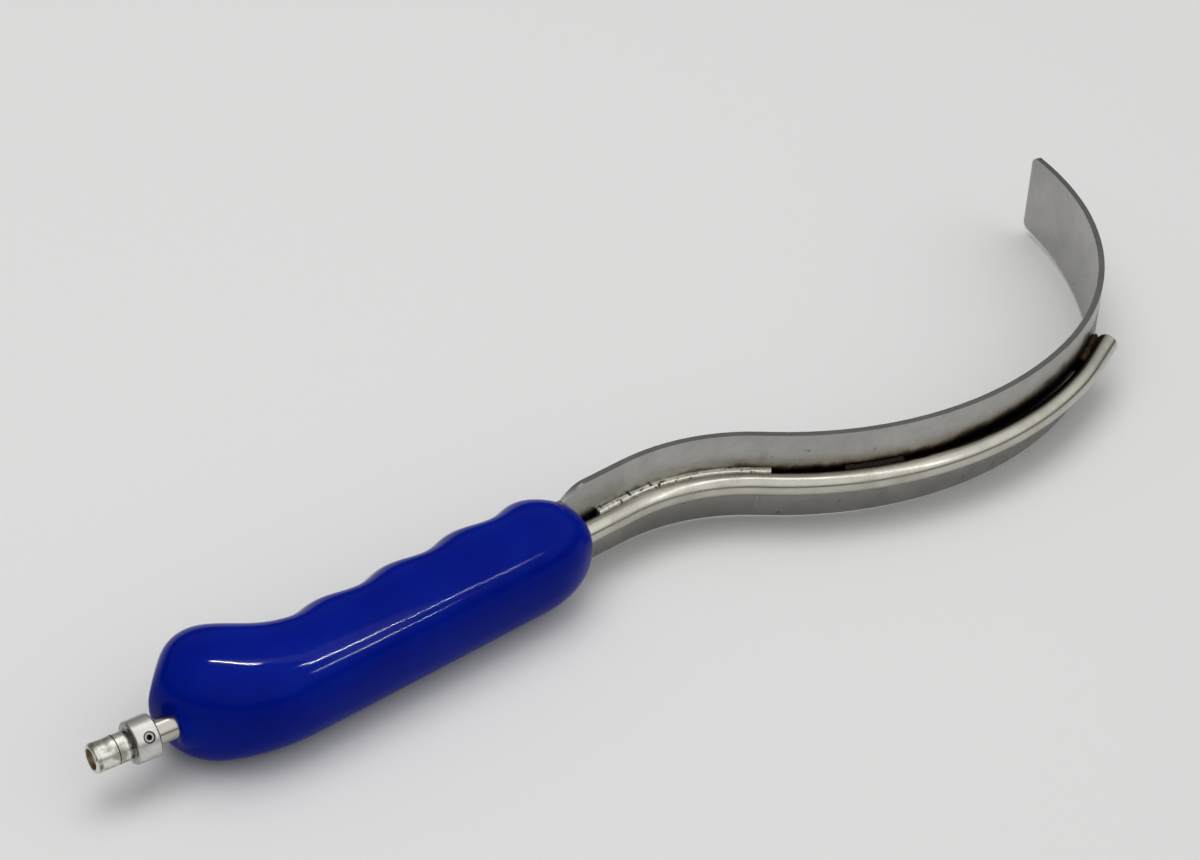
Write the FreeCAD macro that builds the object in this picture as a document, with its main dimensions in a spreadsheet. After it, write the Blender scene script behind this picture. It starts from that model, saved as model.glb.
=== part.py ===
"""Lighted hand-held retractor: curved steel strip, light tube, dipped grip and a removable light post.

Frame: millimetres, the tool lies on its side. +X runs along the axis of the light post, from the
mouth of the post towards the hook, +Z is up and is the direction of the strip's width. The
construction frame has its zero in the centre of the post's mouth; every finished sub-part is then
placed so that the origin is the centre of the footprint, on the surface the tool lies on.
"""
import FreeCAD, Part
import math
import os
import Sketcher

V = FreeCAD.Vector
doc = FreeCAD.newDocument("lighted_retractor")

DIMENSIONS = [
    # light post and its collar, measured along X from the mouth of the post
    ("post_diameter", 7.05),
    ("post_bore", 5.1),
    ("post_chamfer", 0.45),
    ("nose_length", 5.6),
    ("seam_width", 0.16),
    ("seam_diameter", 6.7),
    ("neck_start", 8.3),
    ("neck_diameter", 6.5),
    ("collar_start", 9.35),
    ("collar_length", 5.9),
    ("collar_diameter", 10.4),
    ("collar_chamfer", 0.35),
    ("collar_bore", 5.1),
    ("spigot_length", 1.55),
    ("spigot_clearance", 0.1),
    ("ring_offset", 0.55),
    ("ring_width", 0.45),
    ("ring_inner_diameter", 6.5),
    ("ring_outer_diameter", 7.7),
    ("ring_gap", 1.2),
    ("ring_groove_diameter", 6.3),
    ("screw_diameter", 2.5),
    ("screw_clearance", 0.05),
    ("screw_angle", 42),
    ("screw_shift", 0.35),
    ("screw_recess", 0.15),
    ("screw_tip_gap", 0.06),
    ("screw_socket", 1.27),
    ("screw_socket_depth", 1.1),
    ("screw_chamfer", 0.18),
    # light path
    ("face_recess", 1.3),
    ("face_thickness", 0.5),
    ("stub_diameter", 5),
    ("stub_bore", 4.3),
    ("stop_diameter", 6.2),
    ("stop_start", 15.35),
    ("stop_end", 34),
    ("tube_start", 45),
    ("tube_diameter", 5.6),
    ("tube_bore", 4.8),
    ("bundle_diameter", 4.2),
    ("coupling_diameter", 7.4),
    ("coupling_reach", 7),
    # route of the light tube's axis in plan, from tube_start on; the strip runs beside it
    ("lead_in", 23.3),
    ("grip_bend_radius", 100),
    ("grip_bend_angle", 5.75),
    ("shank_length", 72.3),
    ("shank_bend_radius", 49.6),
    ("shank_bend_angle", 39.5),
    ("neck_length", 2.5),
    ("bow_radius", 99.4),
    ("bow_angle", 54.7),
    ("hook_radius", 80),
    ("hook_angle", 40),
    ("tip_radius", 93.9),
    ("tip_angle", 25.2),
    ("tube_hook_angle", 8),
    ("tube_end_length", 11.5),
    # steel strip
    ("strip_width", 25.4),
    ("strip_thickness", 1.6),
    ("strip_gap", 0.4),
    ("tang_start", 53),
    ("tang_width", 19.4),
    ("tang_end", 131),
    ("shoulder_end", 138),
    ("shoulder_rise", 0.05),
    ("tip_corner", 2),
    ("tip_taper_start", 30),
    ("tip_taper", 1.1),
    # brazing
    ("bead_start", 97),
    ("bead_length", 46),
    ("bead_size", 1.5),
    ("bead_lift", 2.18),
    ("lower_bead_start", 105),
    ("lower_bead_length", 32),
    ("lower_bead_size", 1.2),
    ("bead_pitch", 6),
    ("middle_tack_start", 162),
    ("middle_tack_length", 16),
    ("end_tack_start", 247),
    ("end_tack_length", 5),
    ("tack_size", 1.05),
    # grip
    ("grip_rear", 18.4),
    ("grip_front", 135.7),
    ("grip_half_width", 12.1),
    ("grip_half_height", 12.65),
    ("grip_side_offset", 0.65),
    ("grip_squareness", 2.4),
    ("pommel_centre", 33),
    ("pommel_spread", 14),
    ("pommel_flare", 11.7),
    ("pommel_height", 1.4),
    ("pommel_pole", 7.5),
    ("finger_first", 61.9),
    ("finger_pitch", 19.5),
    ("finger_height", 2.5),
    ("finger_lean", 4),
    ("rear_round", 12),
    ("rear_round_near", 32.5),
    ("rear_round_far", 9.1),
    ("front_round", 19.5),
    ("coat_thickness", 1.8),
    ("core_front", 125),
    ("pin_diameter", 3),
    ("pin_height", 6.4),
    ("pin_clearance", 0.05),
    ("pin_cover", 2.5),
]
FINGER_CRESTS = 4
PIN_STATIONS = (82, 114)
TACKS = ("middle_tack", "end_tack")
# corners of a bead's section, across and up, as parts of its size
BEAD_OUTLINE = ((-0.9, -0.55), (1.2, -0.8), (1.2, 0.55), (-0.2, 0.35))
# how square the grip's ends and the flanks of its ridges are, and where its sections stand
REAR_POWER, REAR_HEIGHT_POWER, FRONT_POWER, RIDGE_POWER = 2, 2.17, 2.4, 1.5
REAR_STATIONS = (0.004, 0.02, 0.055, 0.11, 0.19, 0.3, 0.45, 0.68, 1.0)
FRONT_STATIONS = (1.0, 0.72, 0.46, 0.26, 0.13, 0.05, 0.012)
BLOCK = 80
finished = {}

sheet = doc.addObject("Spreadsheet::Sheet", "Dimensions")
for row, (alias, value) in enumerate(DIMENSIONS, start=1):
    sheet.set(f"A{row}", alias)
    sheet.set(f"B{row}", str(value))
    sheet.setAlias(f"B{row}", alias)
doc.recompute()


def dim(alias):
    """The value of a driving dimension."""
    return float(getattr(sheet, alias))


def bind(thing, path, formula):
    """Tie a property or constraint to a formula of driving dimensions."""
    thing.setExpression(path, formula)


def cell(alias):
    return f"<<Dimensions>>.{alias}"


# ---------------------------------------------------------------- sketches and bodies

def new_body(name):
    body = doc.addObject("PartDesign::Body", name)
    body.Label = name
    return body


def plane_of(body, role):
    return next(item for item in body.Origin.OriginFeatures if item.Role == role)


def new_sketch(body, name, role, lift=None):
    """A sketch on one of the body's origin planes; lift is a formula for its height above the plane."""
    sketch = body.newObject("Sketcher::SketchObject", name)
    sketch.AttachmentSupport = [(plane_of(body, role), "")]
    sketch.MapMode = "FlatFace"
    if lift is not None:
        bind(sketch, "AttachmentOffset.Base.z", lift)
    return sketch


def constrain(sketch, formula, *arguments):
    """Add a dimension constraint and bind it when a formula is given."""
    index = sketch.addConstraint(Sketcher.Constraint(*arguments))
    if formula is not None:
        bind(sketch, f"Constraints[{index}]", formula)
    return index


def add_circle(sketch, formula, radius, centre=None):
    """A circle with a bound radius, on the sketch's zero or at a pair of (value, formula) distances."""
    x, y = (place[0] for place in centre) if centre else (0, 0)
    circle = sketch.addGeometry(Part.Circle(V(x, y, 0), V(0, 0, 1), radius))
    if centre:
        constrain(sketch, centre[0][1], "DistanceX", -1, 1, circle, 3, x)
        constrain(sketch, centre[1][1], "DistanceY", -1, 1, circle, 3, y)
    else:
        sketch.addConstraint(Sketcher.Constraint("Coincident", circle, 3, -1, 1))
    constrain(sketch, formula, "Radius", circle, radius)
    return circle


def ring_profile(body, name, lift, outer, inner=None):
    """An annulus or disc across the X axis."""
    sketch = new_sketch(body, name, "YZ_Plane", lift)
    add_circle(sketch, f"{cell(outer)} / 2", dim(outer) / 2)
    if inner is not None:
        add_circle(sketch, f"{cell(inner)} / 2", dim(inner) / 2)
    return sketch


def pad(body, sketch, formula, name):
    feature = body.newObject("PartDesign::Pad", name)
    feature.Profile = sketch
    bind(feature, "Length", formula)
    return feature


def closed_outline(sketch, corners, formulas=None):
    """A closed outline of straight sides, each corner bound to its two formulas."""
    count = len(corners)
    first = sketch.GeometryCount
    for index in range(count):
        start, end = corners[index], corners[(index + 1) % count]
        sketch.addGeometry(Part.LineSegment(V(start[0], start[1], 0), V(end[0], end[1], 0)))
    for index in range(count):
        following = first + (index + 1) % count
        sketch.addConstraint(Sketcher.Constraint("Coincident", first + index, 2, following, 1))
    for index, (across, up) in enumerate(formulas or ()):
        constrain(sketch, across, "DistanceX", -1, 1, first + index, 1, corners[index][0])
        constrain(sketch, up, "DistanceY", -1, 1, first + index, 1, corners[index][1])


def turned(name, corners):
    """A turned piece; its outline's corners are pairs of formulas for x and radius."""
    body = new_body(name)
    sketch = new_sketch(body, f"{name}_outline", "XY_Plane")
    values = [(evaluate(body, along), evaluate(body, radius)) for along, radius in corners]
    closed_outline(sketch, values, corners)
    feature = body.newObject("PartDesign::Revolution", f"{name}_turning")
    feature.Profile = sketch
    feature.ReferenceAxis = (sketch, ["H_Axis"])
    feature.Angle = 360
    return body


def evaluate(thing, formula):
    return float(thing.evalExpression(formula))


# ---------------------------------------------------------------- the route of tube and strip

ROUTE = [
    ("line", "lead_in", None),
    ("left", "grip_bend_angle", "grip_bend_radius"),
    ("line", "shank_length", None),
    ("right", "shank_bend_angle", "shank_bend_radius"),
    ("line", "neck_length", None),
    ("left", "bow_angle", "bow_radius"),
    ("left", "hook_angle", "hook_radius"),
    ("left", "tip_angle", "tip_radius"),
]


def step(x, y, heading, kind, size, radius):
    """The end of a straight run or of an arc that turns left or right."""
    if kind == "line":
        return x + size * math.cos(heading), y + size * math.sin(heading), heading
    turn = math.radians(size) * (1 if kind == "left" else -1)
    side = radius if kind == "left" else -radius
    centre_x = x - side * math.sin(heading)
    centre_y = y + side * math.cos(heading)
    end = heading + turn
    return centre_x + side * math.sin(end), centre_y - side * math.cos(end), end


def route_sketch(body, name, start, runs, offset, offset_formula):
    """The route, moved sideways to the left by offset, as a sketch of tangent lines and arcs."""
    sketch = new_sketch(body, name, "XY_Plane")
    x, y, heading = start[0], start[1] + offset, 0.0
    ends = []
    for kind, size_formula, radius_formula in runs:
        size = evaluate(body, size_formula)
        radius = evaluate(body, radius_formula) if radius_formula else None
        moved = None
        if kind == "left":
            moved = radius - offset
        elif kind == "right":
            moved = radius + offset
        next_x, next_y, next_heading = step(x, y, heading, kind, size, moved)
        if kind == "line":
            curve = sketch.addGeometry(Part.LineSegment(V(x, y, 0), V(next_x, next_y, 0)))
            first, last = 1, 2
            constrain(sketch, size_formula, "Distance", curve, size)
        else:
            side = moved if kind == "left" else -moved
            centre = V(x - side * math.sin(heading), y + side * math.cos(heading), 0)
            from_angle = heading - math.pi / 2 if kind == "left" else next_heading + math.pi / 2
            to_angle = next_heading - math.pi / 2 if kind == "left" else heading + math.pi / 2
            circle = Part.Circle(centre, V(0, 0, 1), moved)
            curve = sketch.addGeometry(Part.ArcOfCircle(circle, from_angle, to_angle))
            first, last = (1, 2) if kind == "left" else (2, 1)
            sign = "-" if kind == "left" else "+"
            constrain(sketch, f"{radius_formula} {sign} {offset_formula}", "Radius", curve, moved)
            constrain(sketch, f"{size_formula} * 1 deg", "Angle", curve, math.radians(size))
        if ends:
            sketch.addConstraint(Sketcher.Constraint("Tangent", ends[-1][0], ends[-1][1], curve, first))
        else:
            sketch.addConstraint(Sketcher.Constraint("Horizontal", curve))
            constrain(sketch, None, "DistanceX", -1, 1, curve, first, x)
            constrain(sketch, offset_formula, "DistanceY", -1, 1, curve, first, y)
        ends.append((curve, last))
        x, y, heading = next_x, next_y, next_heading
    return sketch


def route_position(distance, offset=0.0):
    """Point and heading on the route at a distance along the tube's axis from tube_start."""
    x, y, heading = dim("tube_start"), 0.0, 0.0
    left = distance
    for kind, size_name, radius_name in ROUTE:
        size = dim(size_name)
        radius = dim(radius_name) if radius_name else None
        length = size if kind == "line" else math.radians(size) * radius
        if left <= length:
            part = left if kind == "line" else size * left / length
            x, y, heading = step(x, y, heading, kind, part, radius)
            break
        x, y, heading = step(x, y, heading, kind, size, radius)
        left -= length
    return x - offset * math.sin(heading), y + offset * math.cos(heading), heading


def named_runs(route):
    """The route's runs with their sizes as sheet formulas."""
    return [(kind, cell(size), cell(radius) if radius else None) for kind, size, radius in route]


def sweep(body, profile, spine, name):
    pipe = body.newObject("PartDesign::AdditivePipe", name)
    pipe.Profile = profile
    pipe.Spine = spine
    pipe.Transition = "Transformed"
    pipe.Mode = "Standard"
    return pipe


TUBE_ROUTE = named_runs(ROUTE[:-2]) + [
    ("left", cell("tube_hook_angle"), cell("hook_radius")),
    ("line", cell("tube_end_length"), None),
]
AXIS_TO_STRIP = dim("tube_diameter") / 2 + dim("strip_gap") + dim("strip_thickness") / 2
AXIS_TO_STRIP_FORMULA = (
    f"({cell('tube_diameter')} / 2 + {cell('strip_gap')} + {cell('strip_thickness')} / 2)"
)


def light_tube():
    """The thin-walled tube that carries the fibres along the outside of the strip."""
    body = new_body("light_tube")
    spine = route_sketch(body, "tube_route", (dim("tube_start"), 0), TUBE_ROUTE, 0.0, "0")
    profile = ring_profile(body, "tube_section", cell("tube_start"), "tube_diameter", "tube_bore")
    sweep(body, profile, spine, "tube_sweep")
    return body


def fibre_bundle():
    """One bundle from behind the input face to behind the distal window."""
    body = new_body("fibre_bundle")
    start = f"{cell('face_recess')} + {cell('face_thickness')}"
    lead = f"{cell('tube_start')} - ({start}) + {cell('lead_in')}"
    end = f"{cell('tube_end_length')} - {cell('face_thickness')}"
    runs = [("line", lead, None)] + TUBE_ROUTE[1:-1] + [("line", end, None)]
    spine = route_sketch(body, "bundle_route", (evaluate(body, start), 0), runs, 0.0, "0")
    profile = ring_profile(body, "bundle_section", start, "bundle_diameter")
    sweep(body, profile, spine, "bundle_sweep")
    return body


def strip():
    """The flat spring-steel strip, on edge: a narrow tang inside the grip, then bends and hook."""
    body = new_body("strip")
    lead = f"{cell('tube_start')} + {cell('lead_in')} - {cell('tang_start')}"
    runs = [("line", lead, None)] + named_runs(ROUTE[1:])
    spine = route_sketch(body, "strip_route", (dim("tang_start"), 0), runs, AXIS_TO_STRIP,
                         AXIS_TO_STRIP_FORMULA)
    profile = new_sketch(body, "strip_section", "YZ_Plane", cell("tang_start"))
    near = f"{AXIS_TO_STRIP_FORMULA} - {cell('strip_thickness')} / 2"
    far = f"{AXIS_TO_STRIP_FORMULA} + {cell('strip_thickness')} / 2"
    low, high = f"-{cell('strip_width')} / 2", f"{cell('strip_width')} / 2"
    outline = [(near, low), (far, low), (far, high), (near, high)]
    corners = [(evaluate(body, across), evaluate(body, up)) for across, up in outline]
    closed_outline(profile, corners, outline)
    sweep(body, profile, spine, "strip_sweep")
    doc.recompute()
    narrow_tang(body)
    drill_pin_holes(body)
    taper_tip(body)
    round_tip(body)
    return body


def cut_through(body, sketch, name):
    """Cut a profile right through the body, both ways from its plane."""
    before = body.Shape.Volume
    pocket = body.newObject("PartDesign::Pocket", name)
    pocket.Profile = sketch
    pocket.Type = "ThroughAll"
    pocket.Midplane = True
    doc.recompute()
    if body.Shape.Volume >= before - 1e-6:
        raise RuntimeError(f"{name} removed nothing")
    return pocket


def narrow_tang(body):
    """Cut the strip down to the tang, above and below, with a rounded shoulder before the grip."""
    sketch = new_sketch(body, "tang_cut", "XZ_Plane")
    clear = cell("strip_width")
    rear_x, tang_x, wide_x = f"{cell('tang_start')} - 2", cell("tang_end"), cell("shoulder_end")
    for sign in ("", "-"):
        narrow = f"{sign}{cell('tang_width')} / 2"
        wide = f"{sign}({cell('strip_width')} / 2 + {cell('shoulder_rise')})"
        corners = [(wide_x, wide), (wide_x, f"{sign}{clear}"), (rear_x, f"{sign}{clear}"),
                   (rear_x, narrow), (tang_x, narrow)]
        add_shoulder_outline(body, sketch, corners)
    cut_through(body, sketch, "tang_shoulders")


def add_shoulder_outline(body, sketch, formulas):
    """Straight sides through the corners, closed by an arc that starts level with the strip's edge."""
    places = [(evaluate(body, across), evaluate(body, up)) for across, up in formulas]
    first = sketch.GeometryCount
    sides = len(places) - 1
    for start, end in zip(places, places[1:]):
        sketch.addGeometry(Part.LineSegment(V(start[0], start[1], 0), V(end[0], end[1], 0)))
    for side in range(first, first + sides - 1):
        sketch.addConstraint(Sketcher.Constraint("Coincident", side, 2, side + 1, 1))
    for side, (across, up) in enumerate(formulas[:-1]):
        constrain(sketch, across, "DistanceX", -1, 1, first + side, 1, places[side][0])
        constrain(sketch, up, "DistanceY", -1, 1, first + side, 1, places[side][1])
    constrain(sketch, formulas[-1][0], "DistanceX", -1, 1, first + sides - 1, 2, places[-1][0])
    constrain(sketch, formulas[-1][1], "DistanceY", -1, 1, first + sides - 1, 2, places[-1][1])
    (wide_x, wide_z), (tang_x, tang_z) = places[0], places[-1]
    run, drop = wide_x - tang_x, abs(wide_z - tang_z)
    radius = (run * run + drop * drop) / (2 * drop)
    sweep_angle = math.asin(run / radius)
    above = wide_z > 0
    circle = Part.Circle(V(wide_x, wide_z - math.copysign(radius, wide_z), 0), V(0, 0, 1), radius)
    start_angle = math.pi / 2 if above else 3 * math.pi / 2 - sweep_angle
    arc = sketch.addGeometry(Part.ArcOfCircle(circle, start_angle, start_angle + sweep_angle))
    wide_end, tang_end = (1, 2) if above else (2, 1)
    sketch.addConstraint(Sketcher.Constraint("Coincident", arc, wide_end, first, 1))
    sketch.addConstraint(Sketcher.Constraint("Coincident", arc, tang_end, first + sides - 1, 2))
    constrain(sketch, formulas[0][0], "DistanceX", -1, 1, arc, 3, wide_x)


def drill_pin_holes(body):
    """Clearance holes in the tang for the pins of the core."""
    sketch = new_sketch(body, "pin_circles", "XZ_Plane")
    radius = dim("pin_diameter") / 2 + dim("pin_clearance")
    radius_formula = f"{cell('pin_diameter')} / 2 + {cell('pin_clearance')}"
    for station in PIN_STATIONS:
        for sign, mark in ((1, ""), (-1, "-")):
            place = ((station, None), (sign * dim("pin_height"), f"{mark}{cell('pin_height')}"))
            add_circle(sketch, radius_formula, radius, place)
    cut_through(body, sketch, "pin_holes")


def taper_tip(body):
    """Narrow the last stretch of the hook a little towards its square end."""
    sketch = new_sketch(body, "tip_cut", "YZ_Plane")
    margin = 3
    tip_y = route_position(route_length(ROUTE), AXIS_TO_STRIP)[1]
    start, end = tip_y - dim("tip_taper_start"), tip_y + margin
    half = dim("strip_width") / 2
    end_half = half - dim("tip_taper") * (end - start) / dim("tip_taper_start")
    for sign in (1, -1):
        closed_outline(sketch, [(start, sign * half), (end, sign * end_half),
                                (end, sign * (half + margin)), (start, sign * (half + margin))])
    cut_through(body, sketch, "tip_taper_cut")


def route_length(route):
    """Length along the tube's axis of a list of runs."""
    total = 0.0
    for kind, size_name, radius_name in route:
        total += dim(size_name) if kind == "line" else math.radians(dim(size_name)) * dim(radius_name)
    return total


def round_tip(body):
    """Round the two corners of the tip."""
    tip_x, tip_y, _ = route_position(route_length(ROUTE), AXIS_TO_STRIP)
    names = []
    for index, edge in enumerate(body.Shape.Edges, start=1):
        middle = edge.valueAt((edge.FirstParameter + edge.LastParameter) / 2)
        is_short = abs(edge.Length - dim("strip_thickness")) < 0.05
        is_at_tip = math.hypot(middle.x - tip_x, middle.y - tip_y) < 1
        if is_short and is_at_tip:
            names.append(f"Edge{index}")
    base = body.Tip
    fillet = body.newObject("PartDesign::Fillet", "tip_corners")
    fillet.Base = (base, names)
    bind(fillet, "Radius", cell("tip_corner"))


# ---------------------------------------------------------------- straight light path pieces

def input_tube():
    """The tube end that the light post slips over, thicker from where the collar stops."""
    bore = f"{cell('stub_bore')} / 2"
    outer = f"{cell('stub_diameter')} / 2"
    thick = f"{cell('stop_diameter')} / 2"
    return turned("input_tube", [
        (cell("face_recess"), bore),
        (cell("tube_start"), bore),
        (cell("tube_start"), outer),
        (cell("stop_end"), outer),
        (cell("stop_end"), thick),
        (cell("stop_start"), thick),
        (cell("stop_start"), outer),
        (cell("face_recess"), outer),
    ])


def face_disc(name, lift):
    body = new_body(name)
    profile = ring_profile(body, f"{name}_section", lift, "bundle_diameter")
    pad(body, profile, cell("face_thickness"), f"{name}_thickness")
    return body


def input_face():
    """The potted, polished end of the bundle inside the mouth of the post."""
    return face_disc("input_face", cell("face_recess"))


def distal_window():
    """The potted, polished end of the bundle at the far end of the light tube."""
    return face_disc("distal_window", "0")


def coupling():
    """The sleeve that joins the input tube to the light tube inside the grip."""
    rear = f"{cell('tube_start')} - {cell('coupling_reach')}"
    front = f"{cell('tube_start')} + {cell('coupling_reach')}"
    outer = f"{cell('coupling_diameter')} / 2"
    return turned("tube_coupling", [
        (rear, f"{cell('stub_diameter')} / 2"),
        (cell("tube_start"), f"{cell('stub_diameter')} / 2"),
        (cell("tube_start"), f"{cell('tube_diameter')} / 2"),
        (front, f"{cell('tube_diameter')} / 2"),
        (front, outer),
        (rear, outer),
    ])


# ---------------------------------------------------------------- light post and collar

def post_nose():
    """The front sleeve of the light post, chamfered at its mouth."""
    bore = f"{cell('post_bore')} / 2"
    outer = f"{cell('post_diameter')} / 2"
    return turned("post_nose", [
        ("0", bore),
        (cell("nose_length"), bore),
        (cell("nose_length"), outer),
        (cell("post_chamfer"), outer),
        ("0", f"{outer} - {cell('post_chamfer')} * 0.8"),
    ])


def post_base():
    """The rear part of the post: seam recess, neck, and the spigot that turns in the collar."""
    bore = f"{cell('post_bore')} / 2"
    outer = f"{cell('post_diameter')} / 2"
    seam_end = f"{cell('nose_length')} + {cell('seam_width')}"
    spigot_start = cell("collar_start")
    groove_start = f"{spigot_start} + {cell('ring_offset')} - {cell('spigot_clearance')}"
    groove_end = f"{spigot_start} + {cell('ring_offset')} + {cell('ring_width')} + {cell('spigot_clearance')}"
    spigot_end = f"{spigot_start} + {cell('spigot_length')}"
    groove = f"{cell('ring_groove_diameter')} / 2"
    neck = f"{cell('neck_diameter')} / 2"
    return turned("post_base", [
        (cell("nose_length"), bore),
        (spigot_end, bore),
        (spigot_end, outer),
        (groove_end, outer),
        (groove_end, groove),
        (groove_start, groove),
        (groove_start, outer),
        (f"{spigot_start} + 0.05", outer),
        (f"{spigot_start} - 0.1", neck),
        (cell("neck_start"), neck),
        (f"{cell('neck_start')} - 0.2", outer),
        (seam_end, outer),
        (seam_end, f"{cell('seam_diameter')} / 2"),
        (cell("nose_length"), f"{cell('seam_diameter')} / 2"),
    ])


def collar():
    """The locking collar: counterbore for the post's spigot, ring groove and a radial screw hole."""
    start = cell("collar_start")
    end = f"{start} + {cell('collar_length')}"
    outer = f"{cell('collar_diameter')} / 2"
    bore = f"{cell('collar_bore')} / 2"
    counterbore = f"{cell('post_diameter')} / 2 + {cell('spigot_clearance')}"
    floor = f"{start} + {cell('spigot_length')} + {cell('spigot_clearance')}"
    ring = f"{cell('ring_outer_diameter')} / 2"
    ring_start = f"{start} + {cell('ring_offset')}"
    ring_end = f"{ring_start} + {cell('ring_width')}"
    edge = cell("collar_chamfer")
    body = turned("collar", [
        (start, counterbore),
        (ring_start, counterbore),
        (ring_start, ring),
        (ring_end, ring),
        (ring_end, counterbore),
        (floor, counterbore),
        (floor, bore),
        (end, bore),
        (end, f"{outer} - {edge}"),
        (f"{end} - {edge}", outer),
        (f"{start} + {edge}", outer),
        (start, f"{outer} - {edge}"),
    ])
    doc.recompute()
    drill_screw_hole(body)
    return body


def screw_station():
    """Distance along X of the set screw's axis."""
    return dim("collar_start") + dim("collar_length") / 2 + dim("screw_shift")


def radial_placement(radius):
    """A placement whose +Z points out of the collar along the set screw, at a radius from the X axis."""
    tilt = math.radians(dim("screw_angle"))
    outward = V(0, -math.cos(tilt), math.sin(tilt))
    rotation = FreeCAD.Rotation(V(0, 0, 1), outward)
    return FreeCAD.Placement(V(screw_station(), 0, 0) + outward * radius, rotation)


def drill_screw_hole(body):
    """Cut the tapped hole for the set screw through one wall of the collar."""
    before = body.Shape.Volume
    sketch = body.newObject("Sketcher::SketchObject", "screw_hole_circle")
    sketch.AttachmentSupport = [(plane_of(body, "XY_Plane"), "")]
    sketch.MapMode = "FlatFace"
    sketch.AttachmentOffset = radial_placement(dim("collar_diameter") / 2 + 1)
    radius = dim("screw_diameter") / 2 + dim("screw_clearance")
    add_circle(sketch, f"{cell('screw_diameter')} / 2 + {cell('screw_clearance')}", radius)
    pocket = body.newObject("PartDesign::Pocket", "screw_hole")
    pocket.Profile = sketch
    pocket.Type = "Length"
    bind(pocket, "Length", f"{cell('collar_diameter')} / 2 + 1")
    doc.recompute()
    if body.Shape.Volume >= before - 1e-6:
        raise RuntimeError("the screw hole removed nothing")


def set_screw():
    """A socket set screw; drawn upright, with its tip down, and placed in the collar's hole."""
    body = new_body("set_screw")
    length_formula = (
        f"({cell('collar_diameter')} - {cell('stub_diameter')}) / 2"
        f" - {cell('screw_recess')} - {cell('screw_tip_gap')}"
    )
    sketch = new_sketch(body, "screw_section", "XY_Plane")
    add_circle(sketch, f"{cell('screw_diameter')} / 2", dim("screw_diameter") / 2)
    pad(body, sketch, length_formula, "screw_length")
    doc.recompute()
    socket = new_sketch(body, "socket_outline", "XY_Plane", length_formula)
    corner = dim("screw_socket") / math.sqrt(3)
    hexagon = [(corner * math.cos(math.pi * i / 3), corner * math.sin(math.pi * i / 3)) for i in range(6)]
    closed_outline(socket, hexagon)
    before = body.Shape.Volume
    pocket = body.newObject("PartDesign::Pocket", "socket")
    pocket.Profile = socket
    bind(pocket, "Length", cell("screw_socket_depth"))
    doc.recompute()
    if body.Shape.Volume >= before - 1e-6:
        raise RuntimeError("the socket removed nothing")
    chamfer_ends(body, (0.0, evaluate(body, length_formula)))
    return body


def chamfer_ends(body, heights):
    """Chamfer the outer rims of the upright screw."""
    names = []
    for index, edge in enumerate(body.Shape.Edges, start=1):
        box = edge.BoundBox
        flat = box.ZLength < 1e-6 and any(abs(box.ZMin - height) < 1e-6 for height in heights)
        if flat and abs(box.XLength - dim("screw_diameter")) < 1e-3:
            names.append(f"Edge{index}")
    base = body.Tip
    chamfer = body.newObject("PartDesign::Chamfer", "rims")
    chamfer.Base = (base, names)
    bind(chamfer, "Size", cell("screw_chamfer"))


def retaining_ring():
    """The open spring ring that holds the post in the collar and lets it turn."""
    start = f"{cell('collar_start')} + {cell('ring_offset')}"
    body = new_body("retaining_ring")
    profile = ring_profile(body, "ring_section", start, "ring_outer_diameter", "ring_inner_diameter")
    pad(body, profile, cell("ring_width"), "ring_thickness")
    doc.recompute()
    gap = new_sketch(body, "ring_opening", "YZ_Plane")
    side, reach = f"{cell('ring_gap')} / 2", cell("ring_outer_diameter")
    outline = [(f"-{side}", "0"), (side, "0"), (side, reach), (f"-{side}", reach)]
    closed_outline(gap, [(evaluate(body, across), evaluate(body, up)) for across, up in outline], outline)
    cut_through(body, gap, "ring_opening_cut")
    return body


# ---------------------------------------------------------------- grip

def grip_line(x):
    """Height in Y of the tube's axis at x, in the stretch inside the grip."""
    bend = dim("tube_start") + dim("lead_in") + dim("grip_bend_radius") * math.tan(
        math.radians(dim("grip_bend_angle")) / 2)
    slope = math.tan(math.radians(dim("grip_bend_angle")))
    return (x - bend) * slope


def finger_crests(x):
    """How far the ridges between the fingers stand out at x."""
    lift = 0.0
    for index in range(FINGER_CRESTS):
        crest = dim("finger_first") + index * dim("finger_pitch")
        distance = abs(x - crest) / (dim("finger_pitch") / 2)
        if distance < 1:
            lift = max(lift, 0.5 + 0.5 * math.cos(math.pi * distance))
    return lift * dim("finger_height")


def rounding(distance, span, power):
    """From 0 at the end of the grip to 1 where the rounding of that end is over."""
    part = min(1.0, max(0.0, distance / span))
    return (1 - (1 - part) ** power) ** (1 / power)


def grip_section(x, inset):
    """Near side, far side and half height of the grip's section at x, shrunk all round by inset."""
    flare = math.exp(-((x - dim("pommel_centre")) / dim("pommel_spread")) ** 2)
    middle = grip_line(x) + dim("grip_side_offset")
    from_rear = x - dim("grip_rear") - inset
    pole = dim("pommel_pole")
    near = middle - dim("grip_half_width") + inset
    near = pole + (near - pole) * rounding(from_rear, dim("rear_round_near"), REAR_POWER)
    far = middle + dim("grip_half_width") + dim("pommel_flare") * flare - inset
    far = pole + (far - pole) * rounding(from_rear, dim("rear_round_far"), REAR_POWER)
    front = front_rounding(x, inset)
    centre, half_width = (near + far) / 2, (far - near) / 2 * front
    half_height = dim("grip_half_height") + dim("pommel_height") * flare - inset
    half_height *= rounding(from_rear, dim("rear_round"), REAR_HEIGHT_POWER) * front
    return centre - half_width, centre + half_width, half_height


def front_rounding(x, inset):
    return rounding(dim("grip_front") - inset - x, dim("front_round"), FRONT_POWER)


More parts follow.
